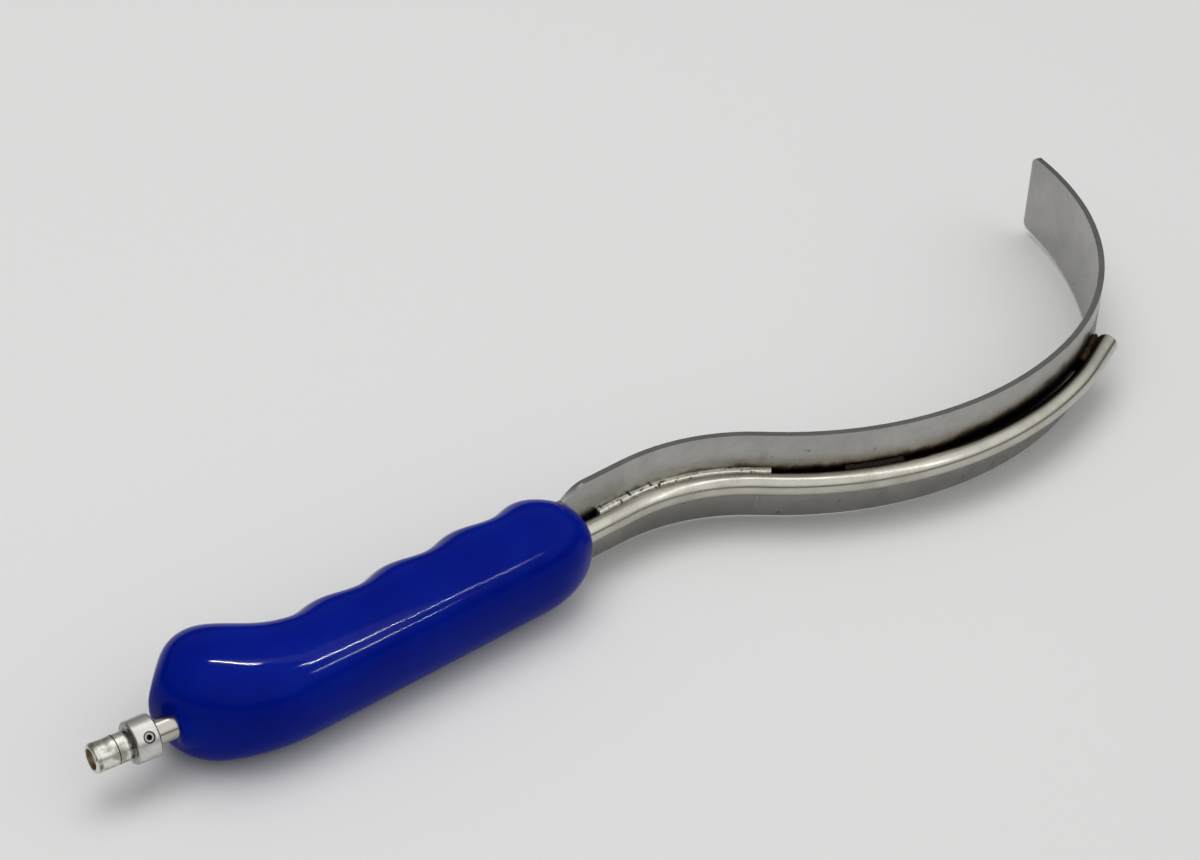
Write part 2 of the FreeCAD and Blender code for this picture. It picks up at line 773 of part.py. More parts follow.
def section_wire(x, inset, points=24):
    """A closed, smooth, slightly squared oval across X, with the finger ridges on its far side."""
    near, far, half_height = grip_section(x, inset)
    centre, half_width = (near + far) / 2, (far - near) / 2
    power = 2 / dim("grip_squareness")
    front = front_rounding(x, inset)
    ring = []
    for index in range(points):
        angle = 2 * math.pi * index / points
        across, up = math.cos(angle), math.sin(angle)
        ridge = finger_crests(x - dim("finger_lean") * abs(up)) * front
        y = centre + half_width * math.copysign(abs(across) ** power, across)
        y += ridge * max(0.0, across) ** RIDGE_POWER
        z = half_height * math.copysign(abs(up) ** power, up)
        ring.append(V(x, y, z))
    curve = Part.BSplineCurve()
    curve.interpolate(Points=ring, PeriodicFlag=True)
    return Part.Wire([curve.toShape()])


def grip_stations(inset):
    """Stations along the grip: close together at the rounded ends, and one per crest and valley."""
    rear_end, front_end = dim("grip_rear") + inset, dim("grip_front") - inset
    rear_span, front_span = dim("rear_round_near"), dim("front_round")
    stations = [rear_end + rear_span * part for part in REAR_STATIONS]
    half_pitch = dim("finger_pitch") / 2
    station = dim("finger_first")
    while station < front_end - front_span - 2:
        if station > stations[-1] + 2:
            stations.append(station)
        station += half_pitch
    return stations + [front_end - front_span * part for part in FRONT_STATIONS]


def grip_solid(inset):
    return Part.makeLoft([section_wire(x, inset) for x in grip_stations(inset)], True, False)


def half_space(side):
    """A thick plate on one side of the strip's middle surface inside the grip; side is 1 or -1."""
    half_turn = math.radians(dim("grip_bend_angle")) / 2
    corner = dim("tube_start") + dim("lead_in")
    corner += (dim("grip_bend_radius") - AXIS_TO_STRIP) * math.tan(half_turn)
    far_end = 2 * BLOCK
    end_y = AXIS_TO_STRIP + (far_end - corner) * math.tan(2 * half_turn)
    corners = [(0, AXIS_TO_STRIP), (corner, AXIS_TO_STRIP), (far_end, end_y), (far_end, side * BLOCK),
               (0, side * BLOCK), (0, AXIS_TO_STRIP)]
    outline = Part.makePolygon([V(x, y, -BLOCK / 2) for x, y in corners])
    return Part.Face(outline).extrude(V(0, 0, BLOCK))


def grip_pins_shape():
    """Pins across both halves of the core and the tang."""
    pins = []
    for x in PIN_STATIONS:
        near, far, _ = grip_section(x, dim("coat_thickness"))
        start = near + dim("pin_cover")
        length = far - dim("pin_cover") - start
        for sign in (1, -1):
            foot = V(x, start, sign * dim("pin_height"))
            pins.append(Part.makeCylinder(dim("pin_diameter") / 2, length, foot, V(0, 1, 0)))
    return pins


def plain_feature(name, shape):
    feature = doc.addObject("Part::Feature", name)
    feature.Shape = shape
    feature.Label = name
    return feature


def cut_all(shape, tools):
    for tool in tools:
        shape = shape.cut(tool)
    return shape


def full_cylinder(alias, start, length):
    return Part.makeCylinder(dim(alias) / 2, length, V(start, 0, 0), V(1, 0, 0))


def filled_tube():
    """The light tube with its inside closed, so that nothing else fills it."""
    return finished["light_tube"].Shape.fuse(finished["fibre_bundle"].Shape)


def grip_pieces():
    """The two halves of the core, the pins and the dipped coat over them."""
    coupling_rear = dim("tube_start") - dim("coupling_reach")
    stub = full_cylinder("stub_diameter", 0, dim("tube_start") + 1)
    sleeve = full_cylinder("coupling_diameter", coupling_rear, 2 * dim("coupling_reach"))
    thick_stub = full_cylinder("stop_diameter", 0, dim("stop_end"))
    front_block = Part.makeBox(BLOCK, BLOCK, BLOCK, V(dim("core_front"), -BLOCK / 2, -BLOCK / 2))
    core = grip_solid(dim("coat_thickness")).cut(front_block)
    pins = grip_pins_shape()
    light_path = [filled_tube(), stub, thick_stub]
    openings = [finished["strip"].Shape] + light_path + [sleeve] + pins
    near_half = cut_all(core.common(half_space(-1)), openings)
    far_half = cut_all(core.common(half_space(1)), openings)
    coat = cut_all(grip_solid(0.0), [core, finished["strip"].Shape] + light_path)
    return (
        plain_feature("core_near", largest(near_half)),
        plain_feature("core_far", largest(far_half)),
        plain_feature("core_pins", Part.makeCompound(pins)),
        plain_feature("grip_coat", largest(coat)),
    )


def largest(shape):
    """The main solid of a cut, without slivers."""
    solids = sorted(shape.Solids, key=lambda solid: solid.Volume)
    return solids[-1]


# ---------------------------------------------------------------- brazing

def bead(start, length, height, size):
    """A bead along the corner between the light tube and the strip, above or below the tube."""
    offset = dim("tube_diameter") / 2 + dim("strip_gap") / 2 - size / 2
    pieces = max(2, round(length / dim("bead_pitch")))
    sections = []
    for index in range(pieces + 1):
        x, y, heading = route_position(start + length * index / pieces, offset)
        across = V(-math.sin(heading), math.cos(heading), 0)
        ring = [V(x, y, height) + across * (size * side) + V(0, 0, size * up) for side, up in BEAD_OUTLINE]
        sections.append(Part.makePolygon(ring + [ring[0]]))
    return Part.makeLoft(sections, True, True)


def braze_shapes():
    """The long bead on the upper side, the tacks further on and the bead on the lower side."""
    lift = dim("bead_lift")
    neighbours = [finished["strip"].Shape, filled_tube()]
    long_bead = bead(dim("bead_start"), dim("bead_length"), lift, dim("bead_size"))
    tacks = [bead(dim(f"{tack}_start"), dim(f"{tack}_length"), side * lift, dim("tack_size"))
             for tack in TACKS for side in (1, -1)]
    tacks.append(bead(dim("lower_bead_start"), dim("lower_bead_length"), -lift, dim("lower_bead_size")))
    return largest(cut_all(long_bead, neighbours)), [largest(cut_all(tack, neighbours)) for tack in tacks]


for make in (light_tube, fibre_bundle, strip, input_tube, input_face, distal_window, coupling,
             post_nose, post_base, collar, retaining_ring, set_screw):
    body = make()
    finished[body.Label] = body
doc.recompute()

bead_shape, tack_shapes = braze_shapes()
braze_bead = plain_feature("braze_bead", bead_shape)
braze_tacks = plain_feature("braze_tacks", Part.makeCompound(tack_shapes))
for feature in (*grip_pieces(), braze_bead, braze_tacks):
    finished[feature.Label] = feature


# ---------------------------------------------------------------- placing and writing

def own_placement(label):
    """Where a sub-part sits in the construction frame; most are drawn in place."""
    if label == "set_screw":
        return radial_placement(dim("stub_diameter") / 2 + dim("screw_tip_gap"))
    if label == "distal_window":
        return window_placement()
    return FreeCAD.Placement()


def window_placement():
    """The window's X axis along the end of the light tube, its face flush with the tube's end."""
    arc = math.radians(dim("tube_hook_angle")) * dim("hook_radius")
    x, y, heading = route_position(route_length(ROUTE[:-2]) + arc)
    reach = dim("tube_end_length") - dim("face_thickness")
    turn = FreeCAD.Rotation(V(0, 0, 1), math.degrees(heading))
    return FreeCAD.Placement(V(x + reach * math.cos(heading), y + reach * math.sin(heading), 0), turn)


def footprint_shift():
    """The shift that brings the centre of the footprint to the origin."""
    box = FreeCAD.BoundBox()
    for feature in finished.values():
        shape = feature.Shape.copy()
        shape.Placement = own_placement(feature.Label).multiply(shape.Placement)
        box.add(shape.optimalBoundingBox(True, False))
    return V(-(box.XMin + box.XMax) / 2, -(box.YMin + box.YMax) / 2, -box.ZMin)


def check_sound(feature):
    if {"Invalid", "Error"} & set(feature.State):
        raise RuntimeError(f"{feature.Label} did not compute")
    if feature.Shape.isNull() or not feature.Shape.isValid():
        raise RuntimeError(f"{feature.Label} has no valid shape")


shift = FreeCAD.Placement(footprint_shift(), FreeCAD.Rotation())
for label, feature in finished.items():
    feature.Placement = shift.multiply(own_placement(label))
doc.recompute()
for thing in doc.Objects:
    if {"Invalid", "Error"} & set(thing.State):
        raise RuntimeError(f"{thing.Label} did not compute")
os.makedirs("parts", exist_ok=True)
for label, feature in finished.items():
    check_sound(feature)
    feature.Shape.exportStep(f"parts/{label}.step")
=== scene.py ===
"""Looks of a lighted hand-held retractor: refined grip skin, brazing, steel finishes, light and camera."""
import math

import bpy
from mathutils import Matrix, Vector


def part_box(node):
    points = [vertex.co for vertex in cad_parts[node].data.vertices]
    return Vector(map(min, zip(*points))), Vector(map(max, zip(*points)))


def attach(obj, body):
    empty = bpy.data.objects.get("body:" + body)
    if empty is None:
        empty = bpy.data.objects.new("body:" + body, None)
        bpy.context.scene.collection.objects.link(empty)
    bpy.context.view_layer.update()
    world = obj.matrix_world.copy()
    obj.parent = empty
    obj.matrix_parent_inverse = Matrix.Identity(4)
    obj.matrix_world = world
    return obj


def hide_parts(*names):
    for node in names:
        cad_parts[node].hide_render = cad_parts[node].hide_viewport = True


MM = 0.001
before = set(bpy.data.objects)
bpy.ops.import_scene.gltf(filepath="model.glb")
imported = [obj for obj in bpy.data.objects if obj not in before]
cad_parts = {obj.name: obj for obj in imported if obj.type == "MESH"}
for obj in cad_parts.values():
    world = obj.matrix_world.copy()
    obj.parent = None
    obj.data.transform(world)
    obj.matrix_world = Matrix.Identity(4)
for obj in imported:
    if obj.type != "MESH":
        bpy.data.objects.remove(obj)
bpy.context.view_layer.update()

# ---------------------------------------------------------------- places, from the frame

POST_LOW, POST_HIGH = (Vector(corner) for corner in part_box("post_nose"))
MOUTH = Vector((POST_LOW.x, (POST_LOW.y + POST_HIGH.y) / 2, (POST_LOW.z + POST_HIGH.z) / 2))


def at(x, y, z):
    """A point given in millimetres from the centre of the post's mouth."""
    return MOUTH + Vector((x, y, z)) * MM


def x_at(distance):
    """The frame's x at a distance in millimetres along the tool from the post's mouth."""
    return MOUTH.x + distance * MM


# ---------------------------------------------------------------- node material helpers

class Shader:
    """A Principled material with short calls for the nodes that feed it."""

    def __init__(self, name, colour, roughness, metallic=0.0, **sockets):
        self.material = bpy.data.materials.new(name)
        self.material.use_nodes = True
        self.tree = self.material.node_tree
        self.bsdf = self.tree.nodes["Principled BSDF"]
        self.bsdf.inputs["Base Color"].default_value = (*colour, 1)
        self.bsdf.inputs["Roughness"].default_value = roughness
        self.bsdf.inputs["Metallic"].default_value = metallic
        for socket, value in sockets.items():
            self.bsdf.inputs[socket.replace("_", " ")].default_value = value
        self.coordinates = self.add("ShaderNodeTexCoord").outputs["Object"]

    def add(self, kind, **settings):
        node = self.tree.nodes.new(kind)
        for key, value in settings.items():
            setattr(node, key, value)
        return node

    def feed(self, socket, value):
        if isinstance(value, bpy.types.NodeSocket):
            self.tree.links.new(value, socket)
        else:
            socket.default_value = value

    def stretched(self, scale, shift=(0, 0, 0)):
        """Object coordinates, scaled differently along the axes."""
        mapping = self.add("ShaderNodeMapping")
        self.feed(mapping.inputs["Vector"], self.coordinates)
        mapping.inputs["Scale"].default_value = scale
        mapping.inputs["Location"].default_value = shift
        return mapping.outputs["Vector"]

    def noise(self, scale, detail=3.0, roughness=0.55, vector=None):
        node = self.add("ShaderNodeTexNoise")
        self.feed(node.inputs["Vector"], vector or self.coordinates)
        node.inputs["Scale"].default_value = scale
        node.inputs["Detail"].default_value = detail
        node.inputs["Roughness"].default_value = roughness
        return node.outputs["Fac"]

    def span(self, value, low, high, to_low=0.0, to_high=1.0):
        """Map a stretch of values to another one, clamped, with soft ends."""
        node = self.add("ShaderNodeMapRange", interpolation_type="SMOOTHSTEP")
        self.feed(node.inputs["Value"], value)
        limits = {"From Min": low, "From Max": high, "To Min": to_low, "To Max": to_high}
        for socket, number in limits.items():
            node.inputs[socket].default_value = number
        return node.outputs["Result"]

    def math(self, operation, first, second=0.0):
        node = self.add("ShaderNodeMath", operation=operation)
        self.feed(node.inputs[0], first)
        self.feed(node.inputs[1], second)
        return node.outputs["Value"]

    def mix(self, factor, first, second):
        node = self.add("ShaderNodeMix", data_type="RGBA")
        self.feed(node.inputs["Factor"], factor)
        for socket, colour in ((node.inputs[6], first), (node.inputs[7], second)):
            self.feed(socket, (*colour, 1) if isinstance(colour, tuple) else colour)
        return node.outputs[2]

    def axis(self, name):
        node = self.add("ShaderNodeSeparateXYZ")
        self.feed(node.inputs["Vector"], self.coordinates)
        return node.outputs[name]

    def facing(self, name):
        """One part of the surface's own direction, from -1 to 1."""
        node = self.add("ShaderNodeSeparateXYZ")
        self.feed(node.inputs["Vector"], self.add("ShaderNodeTexCoord").outputs["Normal"])
        return node.outputs[name]

    def band(self, value, start, end, soft):
        """1 between start and end, fading to 0 over soft on both sides."""
        rise = self.span(value, start - soft, start + soft)
        fall = self.span(value, end - soft, end + soft, 1.0, 0.0)
        return self.math("MULTIPLY", rise, fall)

    def stretch(self, value, places, to_low=0.0, to_high=1.0):
        """Map a stretch along the tool, given in millimetres from the mouth, to other values."""
        start, end = places
        return self.span(value, x_at(start), x_at(end), to_low, to_high)

    def stretch_band(self, value, places, soft):
        """1 inside a stretch along the tool, given in millimetres from the mouth."""
        start, end = places
        return self.band(value, x_at(start), x_at(end), soft)

    def bump(self, height, strength, distance):
        node = self.add("ShaderNodeBump")
        node.inputs["Strength"].default_value = strength
        node.inputs["Distance"].default_value = distance
        self.feed(node.inputs["Height"], height)
        self.feed(self.bsdf.inputs["Normal"], node.outputs["Normal"])

    def colour(self, value):
        self.feed(self.bsdf.inputs["Base Color"], value)

    def roughness(self, value):
        self.feed(self.bsdf.inputs["Roughness"], value)


# ---------------------------------------------------------------- materials

STEEL = (0.36, 0.35, 0.33)
BRIGHT_STEEL = (0.54, 0.52, 0.455)
DARK_STEEL = (0.16, 0.155, 0.145)
BROWN = (0.085, 0.055, 0.03)
STRAW = (0.27, 0.22, 0.16)
# black for soot and painted shade
SOOT_AND_SHADE = (0.018, 0.013, 0.010)
# grime and painted shade at the post's neck
GRIME_AND_SHADE = (0.05, 0.045, 0.04)

# stretches along the tool, in millimetres from the post's mouth
HEATED = (172, 290)
# soot and painted shade on the strip beside the tube, and where that band widens
SOOT_AND_SHADE_STRETCH = (120, 302)
SOOT_AND_SHADE_WIDENS = (215, 292)
# soot and painted shade on the tube's side that faces the strip
TUBE_SOOT_AND_SHADE_STRETCH = (220, 268)
TUBE_TINTED = (262, 292)
FLUX_BROWNS = (225, 275)
POST_ENDS = (9.2, 9.3)
NECK_GRIME_AND_SHADE = (8.3, 9.4)
POST_SEAM = (5.55, 5.8)
MOUTH_RIM = (0.5, 1.3)


def strip_steel():
    """Satin rolled steel: mottling, pits, painted shade on the narrow edges with a painted highlight on
    their bevels, the tint left by brazing, and soot with painted shade beside the tube.
    """
    s = Shader("strip_steel", STEEL, 0.3, 1.0)
    grain = s.noise(1.0, 3, 0.6, s.stretched((90, 90, 3200)))
    mottle = s.noise(140, 5, 0.65)
    clouds = s.noise(38, 3, 0.5)
    tone = s.mix(s.span(mottle, 0.3, 0.72), (0.36, 0.355, 0.34), (0.46, 0.452, 0.43))
    tone = s.mix(s.span(clouds, 0.35, 0.7, 0.0, 0.45), tone, (0.32, 0.315, 0.30))
    upward = s.facing("Z")
    level = s.math("ABSOLUTE", upward)
    # painted shade: the narrow edge faces that look up or down are darkened
    tone = s.mix(s.span(level, 0.85, 0.98, 0.0, 0.7), tone, (0.17, 0.167, 0.16))
    # painted highlight: a bright rim on the bevels of those edges
    tone = s.mix(s.band(level, 0.3, 0.8, 0.1), tone, (0.86, 0.85, 0.82))
    pits = s.span(s.noise(700, 2, 0.5), 0.69, 0.73)
    pitted_areas = s.span(s.noise(60, 1, 0.5), 0.5, 0.6)
    tone = s.mix(s.math("MULTIPLY", pits, pitted_areas), tone, DARK_STEEL)
    s.colour(heat_tint_soot_and_shade(s, tone))
    s.roughness(s.span(mottle, 0.25, 0.8, 0.26, 0.38))
    s.bump(grain, 0.06, 0.0002)
    return s.material


def heat_tint_soot_and_shade(s, tone):
    """Straw and brown heat tint, and soot with painted shade, beside the tube on the face that the tube
    lies on; wider towards the hook.
    """
    along = s.axis("X")
    height = s.math("ABSOLUTE", s.math("SUBTRACT", s.axis("Z"), MOUTH.z))
    wobble = s.math("MULTIPLY", s.math("SUBTRACT", s.noise(120, 5, 0.7), 0.5), 5 * MM)
    spread = s.stretch(along, SOOT_AND_SHADE_WIDENS, 0.0, 4.2 * MM)
    above = s.math("SUBTRACT", s.math("ADD", height, wobble), spread)
    tube_side = s.span(s.facing("Y"), -0.3, -0.05, 1.0, 0.0)
    tinted = s.math("MULTIPLY", s.stretch_band(along, HEATED, 14 * MM), tube_side)
    soot_and_shade_zone = s.math("MULTIPLY", s.stretch_band(along, SOOT_AND_SHADE_STRETCH, 4 * MM), tube_side)
    straw = s.math("MULTIPLY", s.span(above, 2.8 * MM, 7.5 * MM, 0.55, 0.0), tinted)
    tone = s.mix(straw, tone, STRAW)
    brown = s.math("MULTIPLY", s.span(above, 2.4 * MM, 5.0 * MM, 0.85, 0.0), tinted)
    tone = s.mix(brown, tone, BROWN)
    # soot and painted shade: the black band between the tube and the strip
    soot_and_shade = s.math("MULTIPLY", s.span(above, 1.4 * MM, 4.2 * MM, 0.97, 0.0), soot_and_shade_zone)
    return s.mix(soot_and_shade, tone, SOOT_AND_SHADE)


def tube_steel():
    """Polished thin tube with light streaks along it, a few dark scuffs, and soot with painted shade on
    its side facing the strip near its end.
    """
    s = Shader("tube_steel", BRIGHT_STEEL, 0.22, 1.0)
    clouds = s.noise(110, 4, 0.6)
    tone = s.mix(s.span(clouds, 0.35, 0.75, 0.0, 0.55), BRIGHT_STEEL, (0.34, 0.325, 0.275))
    scuffs = s.span(s.noise(1.0, 5, 0.7, s.stretched((260, 260, 900))), 0.64, 0.74)
    scuffed_areas = s.span(s.noise(55, 1, 0.5), 0.52, 0.64)
    tone = s.mix(s.math("MULTIPLY", scuffs, scuffed_areas), tone, DARK_STEEL)
    along = s.axis("X")
    ragged = s.math("MULTIPLY", s.math("SUBTRACT", clouds, 0.5), 0.5)
    inward = s.math("ADD", s.facing("Y"), ragged)
    # soot and painted shade on the side that faces the strip
    soot_and_shade = s.math("MULTIPLY", s.span(inward, 0.1, 0.5), s.stretch(along, TUBE_SOOT_AND_SHADE_STRETCH))
    tone = s.mix(s.math("MULTIPLY", soot_and_shade, 0.93), tone, SOOT_AND_SHADE)
    tint = s.math("MULTIPLY", s.span(inward, 0.0, 0.4, 0.0, 0.5), s.stretch(along, TUBE_TINTED))
    tone = s.mix(tint, tone, STRAW)
    s.colour(tone)
    s.roughness(s.span(clouds, 0.3, 0.8, 0.18, 0.30))
    s.bump(s.noise(200, 3, 0.6), 0.05, 0.0004)
    return s.material


def braze_metal():
    """Pitted solder with dark flux in its pits."""
    s = Shader("braze", (0.5, 0.485, 0.42), 0.35, 1.0)
    pits = s.noise(750, 4, 0.7)
    tone = s.mix(s.span(pits, 0.55, 0.64), (0.74, 0.72, 0.64), (0.05, 0.04, 0.03))
    s.colour(tone)
    s.roughness(s.span(pits, 0.4, 0.7, 0.28, 0.6))
    s.bump(s.noise(1500, 4, 0.7), 0.45, 0.0004)
    return s.material


def flux():
    """Burnt flux and cement, brown near the tube's end and nearly black before it."""
    s = Shader("burnt_flux", (0.05, 0.028, 0.014), 0.75, Specular_IOR_Level=0.15)
    grain = s.noise(1300, 4, 0.7)
    brown = s.mix(s.span(grain, 0.4, 0.7), (0.022, 0.012, 0.006), (0.075, 0.043, 0.018))
    s.colour(s.mix(s.stretch(s.axis("X"), FLUX_BROWNS), SOOT_AND_SHADE, brown))
    s.bump(grain, 0.7, 0.0005)
    return s.material


SCREW_X, SCREW_TILT = 12.65, math.radians(42)
SCREW_HOLE_RIM = (1.2, 1.42)
SOCKET_DEPTH = (4.6, 4.9)


def screw_distances(s):
    """How far a point lies along the set screw's axis, and away from it."""
    x = s.math("SUBTRACT", s.axis("X"), x_at(SCREW_X))
    y = s.math("SUBTRACT", s.axis("Y"), MOUTH.y)
    z = s.math("SUBTRACT", s.axis("Z"), MOUTH.z)
    sine, cosine = math.sin(SCREW_TILT), math.cos(SCREW_TILT)
    along = s.math("ADD", s.math("MULTIPLY", y, -cosine), s.math("MULTIPLY", z, sine))
    side = s.math("ADD", s.math("MULTIPLY", y, sine), s.math("MULTIPLY", z, cosine))
    away = s.math("SQRT", s.math("ADD", s.math("MULTIPLY", x, x), s.math("MULTIPLY", side, side)))
    return along, away


def fitting_metal():
    """Satin turned metal; fine rings around the axis, grime and painted shade at the neck, dark patches at
    the mouth's rim, and painted shade in the gap around the screw hole.
    """
    s = Shader("fitting_metal", (0.55, 0.54, 0.51), 0.3, 1.0)
    along = s.axis("X")
    rings = s.noise(1.0, 3, 0.6, s.stretched((5200, 120, 120)))
    clouds = s.noise(350, 4, 0.6)
    collar_tone = s.mix(s.span(clouds, 0.35, 0.75), (0.68, 0.67, 0.64), (0.60, 0.59, 0.56))
    post_tone = s.mix(s.span(clouds, 0.42, 0.62), (0.78, 0.76, 0.70), (0.40, 0.38, 0.32))
    tone = s.mix(s.stretch(along, POST_ENDS, 1.0, 0.0), collar_tone, post_tone)
    # grime and painted shade where the post goes into the collar
    neck_grime_and_shade = s.stretch_band(along, NECK_GRIME_AND_SHADE, 0.4 * MM)
    tone = s.mix(s.math("MULTIPLY", neck_grime_and_shade, s.span(clouds, 0.25, 0.6, 0.6, 0.97)), tone, GRIME_AND_SHADE)
    seam = s.stretch_band(along, POST_SEAM, 0.06 * MM)
    rim = s.stretch_band(along, MOUTH_RIM, 0.3 * MM)
    rim = s.math("MULTIPLY", rim, s.span(s.noise(240, 3, 0.6), 0.46, 0.6, 0.15, 0.9))
    _, away = screw_distances(s)
    # painted shade: a dark ring in the gap around the set screw, on the upper side
    above = s.span(s.axis("Z"), MOUTH.z, MOUTH.z + 0.1 * MM)
    hole_start, hole_end = (radius * MM for radius in SCREW_HOLE_RIM)
    screw_hole_shade = s.math("MULTIPLY", s.band(away, hole_start, hole_end, 0.08 * MM), above)
    dark = s.math("MAXIMUM", s.math("MAXIMUM", seam, rim), s.math("MULTIPLY", screw_hole_shade, 0.9))
    s.colour(s.mix(dark, tone, (0.05, 0.045, 0.038)))
    s.roughness(s.span(clouds, 0.3, 0.8, 0.26, 0.42))
    s.bump(rings, 0.1, 0.0001)
    return s.material


def shaded_socket_metal():
    """Screw steel, bright on its face, with painted shade making it black inside its socket."""
    s = Shader("screw_steel", (0.3, 0.3, 0.29), 0.35, 1.0)
    along, _ = screw_distances(s)
    bottom, top = (depth * MM for depth in SOCKET_DEPTH)
    # painted shade: black below the socket's rim
    s.colour(s.mix(s.span(along, bottom, top), (0.015, 0.014, 0.012), (0.42, 0.41, 0.38)))
    return s.material


def vinyl():
    """Thick glossy dipped vinyl, deep blue."""
    s = Shader("blue_vinyl", (0.0, 0.006, 0.24), 0.06)
    s.bsdf.inputs["Specular IOR Level"].default_value = 0.040
    depth = s.noise(60, 3, 0.5)
    s.colour(s.mix(s.span(depth, 0.3, 0.75), (0.0, 0.0058, 0.19), (0.0, 0.009, 0.228)))
    s.bump(s.noise(75, 2, 0.5), 0.03, 0.001)
    return s.material


def plain(name, colour, roughness, metallic=0.0):
    s = Shader(name, colour, roughness, metallic)
    s.colour(s.mix(s.span(s.noise(600), 0.3, 0.7), colour, tuple(0.75 * part for part in colour)))
    return s.material


MATERIALS = {
    "strip": strip_steel(),
    "tube": tube_steel(),
    "braze": braze_metal(),
    "flux": flux(),
    "fitting": fitting_metal(),
    "screw": shaded_socket_metal(),
    "vinyl": vinyl(),
    "core": plain("grip_core", (0.03, 0.03, 0.032), 0.6),
    "pin": plain("pin_steel", (0.5, 0.5, 0.48), 0.35, 1.0),
    "fibre": plain("glass_fibre", (0.75, 0.72, 0.6), 0.4),
    "potting": plain("amber_potting", (0.26, 0.12, 0.008), 0.4),
}
NODE_MATERIALS = {
    "strip": "strip", "light_tube": "tube", "input_tube": "tube", "fibre_bundle": "fibre",
    "input_face": "potting", "distal_window": "potting", "tube_coupling": "fitting",
    "core_near": "core", "core_far": "core", "core_pins": "pin", "collar": "fitting",
    "retaining_ring": "screw", "post_nose": "fitting", "post_base": "fitting", "set_screw": "screw",
    "braze_bead": "braze", "braze_tacks": "flux", "grip_coat": "vinyl",
}


def paint(thing, material):
    thing.data.materials.clear()
    thing.data.materials.append(material)


for node, key in NODE_MATERIALS.items():
    paint(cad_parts[node], MATERIALS[key])


# ---------------------------------------------------------------- softened edges of the strip

def soften(node, width, angle):
    """Break the sharp edges of a CAD node a little."""
    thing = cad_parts[node]
    weld = thing.modifiers.new("weld", "WELD")
    weld.merge_threshold = 1e-6
    bevel = thing.modifiers.new("edge", "BEVEL")
    bevel.width = width
    bevel.segments = 2
    bevel.limit_method = "ANGLE"
    bevel.angle_limit = math.radians(angle)
    bevel.harden_normals = False
    bevel.use_clamp_overlap = True


soften("strip", 0.4 * MM, 50)


# ---------------------------------------------------------------- grip skin

GRIP_REAR, GRIP_FRONT = 18.4, 135.7
HALF_WIDTH, HALF_HEIGHT, SIDE_OFFSET, SQUARENESS = 12.1, 12.65, 0.65, 2.4
BEND_X, SLOPE = 73.3, math.tan(math.radians(5.75))
POMMEL_X, POMMEL_FLARE, POMMEL_HEIGHT, POMMEL_SPREAD, POLE_Y = 33.0, 11.7, 1.4, 14.0, 7.5
FIRST_CREST, FINGER_PITCH, FINGER_COUNT, FINGER_HEIGHT, CREST_LEAN = 61.9, 19.5, 4, 2.5, 4.0
FRONT_ROUND, REAR_ROUND, REAR_NEAR, REAR_FAR = 19.5, 12.0, 32.5, 9.1
STUB_FACE, STUB_FLAT, STUB_BLEND, STUB_DEPTH = 20.5, 3.5, 6.8, 9.0
SKIN_STATIONS, SKIN_ANGLES = 190, 128
SKIN_END_INSET, EVEN_SHARE, EASED_SHARE = 0.02, 0.45, 0.55
FRONT_POWER, REAR_POWER, REAR_HEIGHT_POWER, RIDGE_POWER = 2.4, 2, 2.17, 1.5


def rounding(distance, span, power):
    part = min(1.0, max(0.0, distance / span))
    return (1 - (1 - part) ** power) ** (1 / power)


def crest(x):
    """Height of the ridge between two fingers at x, 0 in the valleys."""
    best = 0.0
    for index in range(FINGER_COUNT):
        distance = abs(x - FIRST_CREST - index * FINGER_PITCH) / (FINGER_PITCH / 2)
        if distance < 1:
            best = max(best, 0.5 + 0.5 * math.cos(math.pi * distance))
    return best * FINGER_HEIGHT


def skin_point(x, angle):
    """A point of the grip's surface, in millimetres from the post's mouth."""
    flare = math.exp(-((x - POMMEL_X) / POMMEL_SPREAD) ** 2)
    middle = (x - BEND_X) * SLOPE + SIDE_OFFSET
    front = rounding(GRIP_FRONT - x, FRONT_ROUND, FRONT_POWER)
    from_rear = x - GRIP_REAR
    near_side = middle - HALF_WIDTH
    far_side = middle + HALF_WIDTH + POMMEL_FLARE * flare
    near = POLE_Y + (near_side - POLE_Y) * rounding(from_rear, REAR_NEAR, REAR_POWER)
    far = POLE_Y + (far_side - POLE_Y) * rounding(from_rear, REAR_FAR, REAR_POWER)
    full_height = HALF_HEIGHT + POMMEL_HEIGHT * flare
    half_height = full_height * rounding(from_rear, REAR_ROUND, REAR_HEIGHT_POWER) * front
    power = 2 / SQUARENESS
    across, up = math.cos(angle), math.sin(angle)
    y = (near + far) / 2 + (far - near) / 2 * front * math.copysign(abs(across) ** power, across)
    y += crest(x - CREST_LEAN * abs(up)) * front * max(0.0, across) ** RIDGE_POWER
    return at(x, y, half_height * math.copysign(abs(up) ** power, up))


def beside_stub(point):
    """The skin meets the input tube squarely: its rear face is flat close to the tube."""
    away = math.hypot(point.y - MOUTH.y, point.z - MOUTH.z) / MM
    pull = min(1.0, max(0.0, (STUB_BLEND - away) / (STUB_BLEND - STUB_FLAT)))
    pull *= pull * (3 - 2 * pull)
    face = x_at(STUB_FACE)
    if face < point.x < face + STUB_DEPTH * MM:
        point.x += (face - point.x) * pull
    return point


def skin_station(part):
    """x of a station; part runs from 0 to 1 and the stations crowd towards both ends."""
    eased = 0.5 - 0.5 * math.cos(math.pi * part)
    eased = EVEN_SHARE * part + EASED_SHARE * eased
    return GRIP_REAR + SKIN_END_INSET + (GRIP_FRONT - GRIP_REAR - 2 * SKIN_END_INSET) * eased


